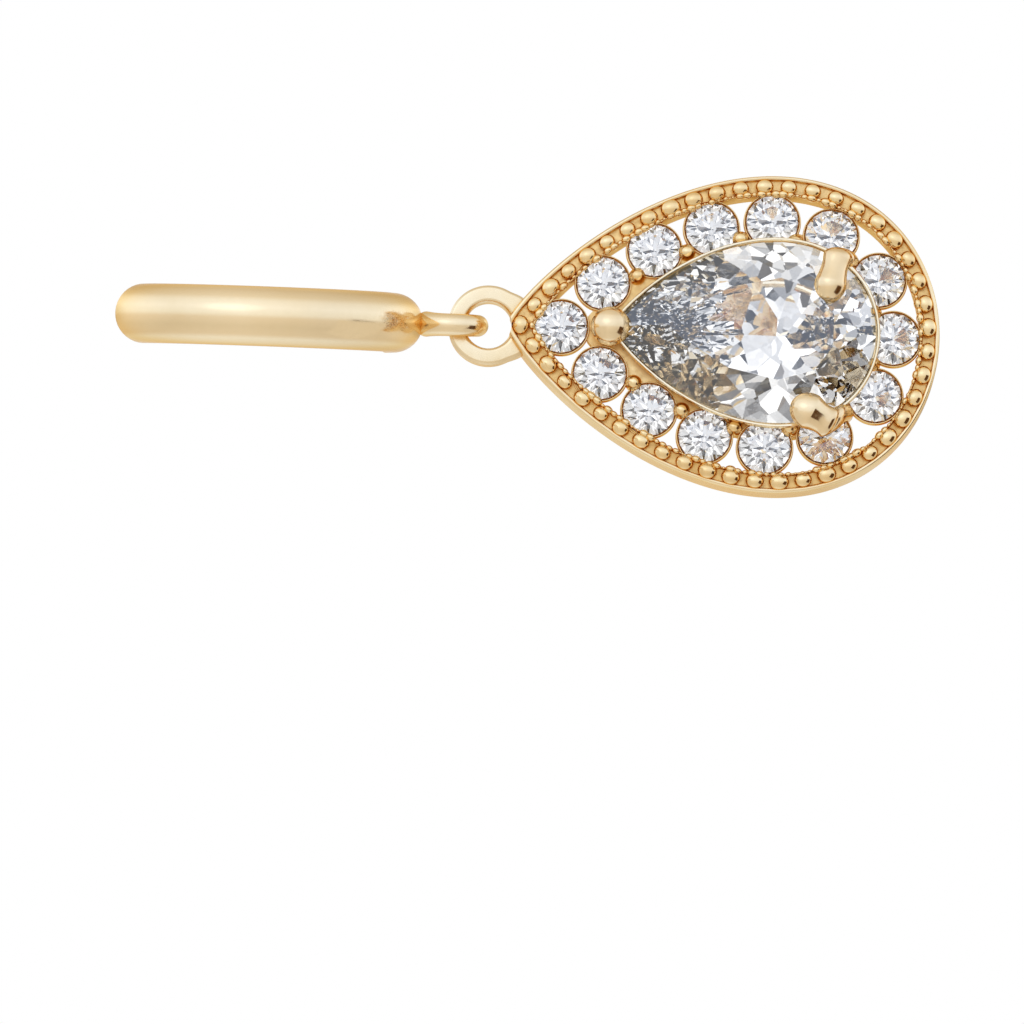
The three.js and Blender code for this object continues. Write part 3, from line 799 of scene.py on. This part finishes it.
def grain_line(side, point, depth):
    """A closed line round the rim, so far in from its outside at the sides and at the point."""
    steps = GRAIN_LINE_STEPS
    line = inset(rim_outer, side, point)
    mesh = bpy.data.meshes.new("grain_line")
    points = [pear_point(line, 2 * math.pi * i / steps, depth) for i in range(steps)]
    mesh.from_pydata(points, [(i, (i + 1) % steps) for i in range(steps)], [])
    return mesh


grain_gold = polished_gold("grain_gold", (0.95, 0.72, 0.38), (0.88, 0.60, 0.27), 0.10, wave=0.25,
                           recess_shade=RECESS_SHADE_GOLD)
grain_row = grain_tree(grain_gold)
grains = grown("milgrain", grain_line(GRAIN_IN, GRAIN_POINT_IN, GRAIN_DEPTH), grain_row, {
    "Pitch": GRAIN_PITCH, "Length": GRAIN_LENGTH, "Width": GRAIN_WIDTH, "Height": GRAIN_HEIGHT,
    "Unevenness": 0.13, "Seed": 4})
milgrain = piece(hung(grains), grain_gold, "drop")
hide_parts("drop_setting")
crumbs = grown("milgrain_edge", grain_line(CRUMB_IN, CRUMB_POINT_IN, CRUMB_DEPTH), grain_row, {
    "Pitch": CRUMB_PITCH, "Length": CRUMB_LENGTH, "Width": CRUMB_WIDTH, "Height": CRUMB_HEIGHT,
    "Unevenness": 0.6, "Seed": 9})
milgrain_edge = piece(hung(crumbs), grain_gold, "drop")
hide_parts("drop_setting")


# Cups: one thin-walled seat for each accent stone, joined to the rim outside and to the web inside, and
# open behind. They are cast with the setting, and their lips are burnished round the stones.
CUP_FRONT = -0.56 * MM
CUP_BACK = 0.42 * MM
CUP_FOOT = 0.93 * MM
CUP_HOLE = 0.62 * MM
CUP_LIP = 0.04 * MM
CUP_LIP_DEPTH = 0.3 * MM
CUP_EASE = 0.02 * MM
CUP_SIDES = 64
SEAT_DEPTH = -0.42 * MM
SEAT_FALL = 0.3 * MM
MEASURE_STEPS = 1440
PRONG_GAP = 0.18 * MM
# The two claws rise through wider gaps between cups. Shoulder and tip are shares of the centre stone's
# width and length, and a claw's own width is in millimetres.
SIDE_PRONGS = [
    {"shoulder": (0.42, 0.842), "tip": (0.157, 0.804), "width": 1.24},
    {"shoulder": (-0.5, 0.83), "tip": (-0.414, 0.71), "width": 1.42},
]


def even_places(pear, pitch, extras):
    """Values of t at equal distances round a pear from its point; a gap in extras is that much longer."""
    reach = [0.0]
    for i in range(MEASURE_STEPS):
        a, b = (pear_point(pear, 2 * math.pi * k / MEASURE_STEPS) for k in (i, i + 1))
        reach.append(reach[-1] + (b - a).length)
    shared = reach[-1] - sum(extras.values())
    count = math.floor(shared / pitch)
    places = []
    i, goal = 0, 0.0
    for k in range(count):
        while reach[i + 1] < goal:
            i += 1
        share = (goal - reach[i]) / (reach[i + 1] - reach[i])
        places.append(2 * math.pi * (i + share) / MEASURE_STEPS)
        goal += shared / count + extras.get(k, 0.0)
    return places


def gap_middle(places, k):
    return (places[k] + (places[k + 1] if k + 1 < len(places) else 2 * math.pi)) / 2


def on_stone(share_across, share_down):
    """A place in shares of the centre stone's width, off its middle line, and length, from its point."""
    top, length, width = stone_pear
    return Vector((share_across * width, 0, bail_centre.z - top - share_down * length))


def nearest_gap(places, spot):
    def away(k):
        return (pear_point(halo_line, gap_middle(places, k)) - spot).length
    return min(range(len(places)), key=away)


even_halo = even_places(halo_line, 2 * cup_radius + CUP_SPACING, {})
prong_gaps = [nearest_gap(even_halo, on_stone(*prong["shoulder"])) for prong in SIDE_PRONGS]
halo_places = even_places(halo_line, 2 * cup_radius + CUP_SPACING, {k: PRONG_GAP for k in prong_gaps})


def copies_tree(name, template, material):
    """Sets a copy of one small mesh on every point, with a slight seeded turn about the depth line."""
    tree, entry, end = new_tree(name, [("Turn", "NodeSocketFloat"), ("Seed", "NodeSocketInt")])
    source = wire(tree, "GeometryNodeObjectInfo", Object=template)
    back = sums(tree, "MULTIPLY", entry.outputs["Turn"], -1.0)
    angle = random_number(tree, back, entry.outputs["Turn"], entry.outputs["Seed"])
    turn = wire(tree, "ShaderNodeCombineXYZ", Y=angle)
    row = wire(tree, "GeometryNodeInstanceOnPoints", Points=entry.outputs["Geometry"],
               Instance=source.outputs["Geometry"], Rotation=turn.outputs["Vector"])
    real = wire(tree, "GeometryNodeRealizeInstances", Geometry=row.outputs["Instances"])
    gilded = wire(tree, "GeometryNodeSetMaterial", Geometry=real.outputs["Geometry"], Material=material)
    tree.links.new(gilded.outputs["Geometry"], end.inputs["Geometry"])
    return tree


def repeated(name, template_mesh, places, material, turn, seed):
    template = placed(name + "_one", template_mesh)
    tree = copies_tree(name + "_row", template, material)
    points = bpy.data.meshes.new(name + "_places")
    points.from_pydata(places, [], [])
    result = grown(name, points, tree, {"Turn": turn, "Seed": seed})
    bpy.data.objects.remove(template)
    return result


def turned(name, outline):
    """A closed outline of [radius, depth] spun about a line along the drop's depth."""
    rings = []
    for i in range(CUP_SIDES):
        a = 2 * math.pi * i / CUP_SIDES
        rings.append([Vector((r * math.sin(a), y, r * math.cos(a))) for r, y in outline])
    return skin(name, rings, closed=True)


def cup_mesh():
    seat = ACCENT / 2 + SEAT_GAP
    outline = eased([
        (seat, CUP_FRONT), (seat + CUP_LIP, CUP_FRONT), (seat + CUP_LIP * 1.5, CUP_FRONT + CUP_LIP_DEPTH),
        (CUP_FOOT, CUP_BACK), (CUP_HOLE, CUP_BACK), (CUP_HOLE, SEAT_DEPTH + SEAT_FALL), (seat, SEAT_DEPTH),
    ], CUP_EASE, 3)
    return turned("cup", outline)


# Painted shade: the cups' gold is darker than the rim's, to stand for the shadow at the stones' edges
cup_gold = polished_gold("cup_gold", (0.90, 0.65, 0.32), (0.84, 0.55, 0.22), 0.2, wave=0.06,
                         recess_shade=RECESS_SHADE_GOLD)
cup_centres = [pear_point(halo_line, t) for t in halo_places]
cups = repeated("stone_cups", cup_mesh(), cup_centres, cup_gold, turn=0.3, seed=7)
stone_cups = piece(hung(cups), cup_gold, "drop")
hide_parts("drop_setting")


# Web: the thin plate that joins the cups to the basket on their inner side. It is pierced where the cups
# pass through, and between them stand small beads raised from the plate to hold the stones.
WEB_INSET = 0.33 * MM
WEB_POINT_INSET = 0.73 * MM
WEB_FRONT = -0.42 * MM
WEB_BACK = 0.3 * MM
WEB_INNER = 0.9
WEB_EASE = 0.02
WEB_STEPS = 160
WEB_BORE_SIDES = 48
WEB_BEAD = 0.66 * MM
WEB_BEAD_RISE = WEB_BEAD * 0.75
WEB_BEAD_RINGS = 13
WEB_BEAD_SIDES = 20
WEB_BEAD_INSET = 0.66 * MM


def share_pear(share, grow):
    """A share of the centre stone's outline about its own middle, grown all round."""
    top, length, width = stone_pear
    higher = length * (1 - share) * STONE_MIDDLE - grow
    return (top + higher, length * share + 2 * grow, width * share + 2 * grow)


def web_mesh():
    outer = inset(halo_line, WEB_INSET, WEB_POINT_INSET)
    inner = share_pear(WEB_INNER, SEAT_GAP)
    edge = [(0, WEB_BACK), (0, WEB_FRONT), (1, WEB_FRONT), (1, WEB_BACK)]
    plate = pear_band("stone_web", outer, inner, eased(edge, WEB_EASE, 2), WEB_STEPS)
    radius = (ACCENT / 2 + SEAT_GAP + cup_radius) / 2
    return cut_away(plate, [bore(centre, radius, WEB_BORE_SIDES) for centre in cup_centres])


def ball(name, centre, radius, rise, count, sides):
    """A ball of gold whose half height, along the drop's depth, is its rise."""
    rings = []
    for i in range(count):
        a = math.pi * (i + 0.5) / count
        rings.append([centre + Vector((radius * math.sin(a) * math.sin(b), -rise * math.cos(a),
                                       radius * math.sin(a) * math.cos(b)))
                      for b in (2 * math.pi * k / sides for k in range(sides))])
    return skin(name, rings)


def bead_places():
    line = inset(halo_line, WEB_BEAD_INSET)
    gaps = [k for k in range(1, len(halo_places) - 1) if k not in prong_gaps]
    return [pear_point(line, gap_middle(halo_places, k), WEB_FRONT) for k in gaps]


# The web takes the darker as-cast gold, whose deeper colour is painted shade between and behind the cups
web = piece(hung(web_mesh()), raw_gold, "drop")
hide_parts("drop_setting")
bead = ball("bead", Vector(), WEB_BEAD / 2, WEB_BEAD_RISE, WEB_BEAD_RINGS, WEB_BEAD_SIDES)
beads = piece(hung(repeated("web_beads", bead, bead_places(), grain_gold, turn=0.4, seed=11)),
              grain_gold, "drop")
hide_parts("drop_setting")


# Basket: the collet under the centre stone, a thin wall round its edge that narrows behind along the
# stone's back to an open foot. Only its bright upper edge shows from the front.
GIRDLE_DEPTH = -1.0 * MM
GIRDLE_THICK = 0.16 * MM
PAVILION = 2.75 * MM
BASKET_WALL = 0.12 * MM
BASKET_OUTSIDE = 0.1 * MM
BASKET_SEAT = 0.02 * MM
BASKET_LIP = 0.14 * MM
BASKET_LIP_EASE = 0.03 * MM
BASKET_LIP_FALL = 0.04 * MM
BASKET_STEPS = 200
# The hollow behind the stone's edge: how far in from the edge, and how far behind it
BASKET_HOLLOW = [(0.42 * MM, 0.55 * MM), (1.25 * MM, 1.4 * MM)]
# The open foot and the outside, as shares of the stone's outline
BASKET_MOUTH_DEPTH = 0.72
BASKET_FOOT = 0.42
BASKET_MOUTH = BASKET_FOOT * 1.1
BASKET_NECK = 0.78
BASKET_SHOULDER = 0.86
BASKET_FOOT_WALL = 0.45 * MM
BASKET_FOOT_EASE = 0.05 * MM
BASKET_BEHIND = 0.15 * MM


def basket_mesh():
    """Layers of [pear, depth]: over the lip, down the hollow, round the foot and up the outside."""
    girdle_back = GIRDLE_DEPTH + GIRDLE_THICK / 2
    foot = girdle_back + PAVILION + BASKET_BEHIND
    lip = GIRDLE_DEPTH - GIRDLE_THICK / 2 - BASKET_LIP
    wall = SEAT_GAP + BASKET_WALL
    layers = [
        (share_pear(1, wall), girdle_back + BASKET_OUTSIDE),
        (share_pear(1, wall), lip + BASKET_LIP_FALL),
        (share_pear(1, wall - BASKET_LIP_EASE), lip),
        (share_pear(1, SEAT_GAP + BASKET_LIP_EASE), lip),
        (share_pear(1, SEAT_GAP), lip + BASKET_LIP_FALL),
        (share_pear(1, SEAT_GAP), girdle_back + BASKET_SEAT),
        *((inset(stone_pear, side), girdle_back + behind) for side, behind in BASKET_HOLLOW),
        (share_pear(BASKET_MOUTH, SEAT_GAP), girdle_back + PAVILION * BASKET_MOUTH_DEPTH),
        (share_pear(BASKET_MOUTH, SEAT_GAP), foot - BASKET_FOOT_EASE),
        (share_pear(BASKET_MOUTH, SEAT_GAP + BASKET_FOOT_EASE), foot),
        (share_pear(BASKET_FOOT, BASKET_FOOT_WALL - BASKET_FOOT_EASE), foot),
        (share_pear(BASKET_FOOT, BASKET_FOOT_WALL), foot - BASKET_FOOT_EASE),
        (share_pear(BASKET_NECK, BASKET_FOOT_WALL), WEB_BACK),
        (share_pear(BASKET_SHOULDER, BASKET_WALL * 2), WEB_FRONT),
    ]
    rings = [[pear_point(pear, 2 * math.pi * i / BASKET_STEPS, depth) for pear, depth in layers]
             for i in range(BASKET_STEPS)]
    return skin("stone_basket", rings, closed=True)


seat_gold = polished_gold("seat_gold", (0.95, 0.80, 0.55), (0.92, 0.74, 0.46), 0.12, wave=0.05)
basket = piece(hung(basket_mesh()), seat_gold, "drop")
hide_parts("drop_setting")


# Prongs: a round ball over the stone's point and two heavy claws over its round end, raised from the web,
# bent over the edge, notched to fit it, and polished to a high shine.
POINT_BALL = 1.5 * MM
POINT_BALL_OUT = 0.15 * MM
POINT_BALL_RINGS = 25
POINT_BALL_SIDES = 48
PRONG_INSET = 0.32 * MM
PRONG_STEPS = 48
PRONG_SIDES = 40
# Thickness and the depths of a claw's foot and top, in millimetres
PRONG_THICK = 0.95
PRONG_FOOT = 0.1
PRONG_TOP = -1.86
# Stations along a claw: its reach from root (0) over shoulder (1) to tip (2), its rise from foot (0) to top
# (1), and its width and thickness there as shares of the claw's own
PRONG_RISE = [
    {"reach": 0.0, "rise": 0.0, "width": 0.44, "thick": 0.5},
    {"reach": 0.05, "rise": 0.42, "width": 0.46, "thick": 0.55},
    {"reach": 0.5, "rise": 0.72, "width": 0.78, "thick": 0.8},
    {"reach": 0.9, "rise": 0.9, "width": 0.9, "thick": 0.95},
    {"reach": 1.25, "rise": 0.97, "width": 0.82, "thick": 1.0},
    {"reach": 1.6, "rise": 1.02, "width": 1.0, "thick": 1.3},
]
# The rounded end: its length in half widths, and the turn of each of its steps in degrees
PRONG_END = 1.15
PRONG_END_STEPS = 11
PRONG_END_TURN = 7.8
STONE_GROWTH = 1.012
STONE_MERGE = 0.001 * MM


def between(rows, key, place):
    """A smooth value of one column at a place counted in rows."""
    i = min(int(place), len(rows) - 2)
    f = place - i
    a, b, c, d = (rows[min(max(k, 0), len(rows) - 1)][key] for k in (i - 1, i, i + 1, i + 2))
    bend = (2 * a - 5 * b + 4 * c - d) * f ** 2 + (3 * b - a - 3 * c + d) * f ** 3
    return 0.5 * (2 * b + (c - a) * f + bend)


def prong_mesh(name, prong, gap):
    root = pear_point(inset(halo_line, PRONG_INSET), gap_middle(halo_places, gap))
    shoulder, tip = on_stone(*prong["shoulder"]), on_stone(*prong["tip"])
    across = (tip - shoulder).normalized().cross(Vector((0, 1, 0)))
    spine, widths, thicks = [], [], []
    for i in range(PRONG_STEPS + 1):
        place = (len(PRONG_RISE) - 1) * i / PRONG_STEPS
        reach = between(PRONG_RISE, "reach", place)
        at = root.lerp(shoulder, reach) if reach < 1 else shoulder.lerp(tip, reach - 1)
        at.y = (PRONG_FOOT + (PRONG_TOP - PRONG_FOOT) * between(PRONG_RISE, "rise", place)) * MM
        spine.append(at)
        widths.append(between(PRONG_RISE, "width", place) * prong["width"] / 2 * MM)
        thicks.append(between(PRONG_RISE, "thick", place) * PRONG_THICK / 2 * MM)
    heading = (spine[-1] - spine[-2]).normalized()
    cap = PRONG_END * widths[-1]
    for k in range(1, PRONG_END_STEPS + 1):
        bow = math.radians(PRONG_END_TURN * k)
        spine.append(spine[PRONG_STEPS] + heading * cap * math.sin(bow))
        widths.append(widths[PRONG_STEPS] * math.cos(bow))
        thicks.append(thicks[PRONG_STEPS] * math.cos(bow))
    rings = []
    for i, centre in enumerate(spine):
        heading = (spine[min(i + 1, len(spine) - 1)] - spine[max(i - 1, 0)]).normalized()
        upward = across.cross(heading)
        rings.append([centre + across * (math.cos(a) * widths[i]) + upward * (math.sin(a) * thicks[i])
                      for a in (2 * math.pi * k / PRONG_SIDES for k in range(PRONG_SIDES))])
    return skin(name, rings)


def stone_copy(node, growth):
    """A closed copy of a stone, grown a little about its own middle, to cut its seat with."""
    mesh = frame["nodes"][node].data.copy()
    shape = bmesh.new()
    shape.from_mesh(mesh)
    bmesh.ops.remove_doubles(shape, verts=shape.verts, dist=STONE_MERGE)
    bmesh.ops.recalc_face_normals(shape, faces=shape.faces)
    low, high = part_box(node)
    middle = Matrix.Translation((low + high) / 2)
    grow = middle @ Matrix.Scale(growth, 4) @ middle.inverted()
    bmesh.ops.transform(shape, matrix=grow, verts=shape.verts)
    shape.to_mesh(mesh)
    shape.free()
    return mesh


prong_gold = polished_gold("prong_gold", (0.92, 0.71, 0.42), (0.86, 0.61, 0.32), 0.15, wave=0.12,
                           recess_shade=RECESS_SHADE_GOLD)
claws = [prong_mesh(name, prong, gap)
         for name, prong, gap in zip(("upper_claw", "lower_claw"), SIDE_PRONGS, prong_gaps)]
ball_centre = pear_point(stone_pear, 0, GIRDLE_DEPTH - GIRDLE_THICK) + Vector((0, 0, POINT_BALL_OUT))
point_ball = ball("point_prong", ball_centre, POINT_BALL / 2, POINT_BALL / 2, POINT_BALL_RINGS,
                  POINT_BALL_SIDES)
for mesh in (point_ball, *claws):
    notched = cut_away(hung(mesh), [stone_copy("center_stone", STONE_GROWTH)])
    prong = piece(notched, prong_gold, "drop")
    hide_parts("drop_setting")


# Stones: clear cut crystal, the pear in the middle and the round accents about it. Each has a table, a
# crown and a pointed back of flat polished facets, and sits on its seat with a hair of room. The accents
# keep the frame's own meshes, and the pear is ground with more facets.
CRYSTAL_IOR = 2.16
CRYSTAL_TINT = (1.0, 1.0, 1.0)
CRYSTAL_SHADE = (0.985, 0.99, 1.0)
CROWN = 0.95
BLANK_BACK = 4
BLANK_STEPS = 160
GRIND_SLACK = 1e-5
WELD = 1e-4
TANGENT_STEP = 0.02
# Facet rows of the centre stone, from its edge in: how many, which share of a step they are turned, how
# steep in degrees, and how far in from the edge each row begins, in millimetres
CROWN_ROWS = [(24, 0.5, 36, 0.0), (12, 0.5, 32, 0.32), (12, 0.0, 24, 1.05)]
PAVILION_ROWS = [(32, 0.5, 42.5, 0.0), (16, 0.0, 41, 0.5), (16, 0.5, 39.5, 1.3), (12, 0.0, 37, 2.2)]


def cut_crystal(name):
    """Clear crystal with the faintest cloud of blue in it."""
    material = shaded(name, Transmission_Weight=1.0, IOR=CRYSTAL_IOR, Roughness=0.0)
    tree = material.node_tree
    place = wire(tree, "ShaderNodeTexCoord").outputs["Object"]
    cloud = wire(tree, "ShaderNodeTexNoise", Vector=place, Scale=600.0, Detail=2.0)
    colour = ramp(tree, cloud.outputs["Fac"], [(0.35, CRYSTAL_SHADE), (0.6, CRYSTAL_TINT)])
    tree.links.new(colour, tree.nodes["Principled BSDF"].inputs["Base Color"])
    return material


def facet_planes(rows, edge_depth, way):
    """A plane for every facet: each row starts on the row outside it and leans over towards the middle."""
    planes = []
    rise, before, slope_before = 0.0, 0.0, 0.0
    for count, phase, slope, begin in rows:
        rise += (begin - before) * slope_before
        before, slope_before = begin, math.tan(math.radians(slope))
        for k in range(count):
            t = 2 * math.pi * (k + phase) / count
            ahead, behind = (pear_point(stone_pear, t + turn) for turn in (TANGENT_STEP, -TANGENT_STEP))
            along = (ahead - behind).normalized()
            outward = Vector((-along.z, 0, along.x))
            edge = pear_point(stone_pear, t)
            if outward.dot(edge - on_stone(0, STONE_MIDDLE)) < 0:
                outward.negate()
            lean = math.radians(slope)
            normal = outward * math.sin(lean) + Vector((0, way * math.cos(lean), 0))
            spot = edge - outward * begin * MM + Vector((0, edge_depth + way * rise * MM, 0))
            planes.append((spot, normal))
    return planes


def gem_mesh(name):
    """A blank of the stone's outline, ground flat facet by facet; worked in millimetres."""
    front, back = GIRDLE_DEPTH - GIRDLE_THICK / 2, GIRDLE_DEPTH + GIRDLE_THICK / 2
    rings = [[pear_point(stone_pear, 2 * math.pi * i / BLANK_STEPS, depth) / MM for i in range(BLANK_STEPS)]
             for depth in (front - CROWN * MM, back + BLANK_BACK * MM)]
    mesh = skin(name, rings)
    shape = bmesh.new()
    shape.from_mesh(mesh)
    for spot, normal in facet_planes(CROWN_ROWS, front, -1) + facet_planes(PAVILION_ROWS, back, 1):
        everything = [*shape.verts, *shape.edges, *shape.faces]
        bmesh.ops.bisect_plane(shape, geom=everything, dist=GRIND_SLACK, plane_co=spot / MM,
                               plane_no=normal, clear_outer=True)
        open_edges = [edge for edge in shape.edges if edge.is_boundary]
        if open_edges:
            bmesh.ops.edgeloop_fill(shape, edges=open_edges)
    bmesh.ops.remove_doubles(shape, verts=shape.verts, dist=WELD)
    bmesh.ops.recalc_face_normals(shape, faces=shape.faces)
    bmesh.ops.scale(shape, vec=(MM, MM, MM), verts=shape.verts)
    shape.to_mesh(mesh)
    shape.free()
    return mesh


centre_crystal = cut_crystal("centre_crystal")
accent_crystal = cut_crystal("accent_crystal")
gem = piece(hung(gem_mesh("centre_gem")), centre_crystal, "drop", sharp=1)
gem.data.shade_flat()
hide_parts("center_stone")
for name, node in frame["nodes"].items():
    if name.startswith("halo_stone_"):
        node.data.materials.clear()
        node.data.materials.append(accent_crystal)
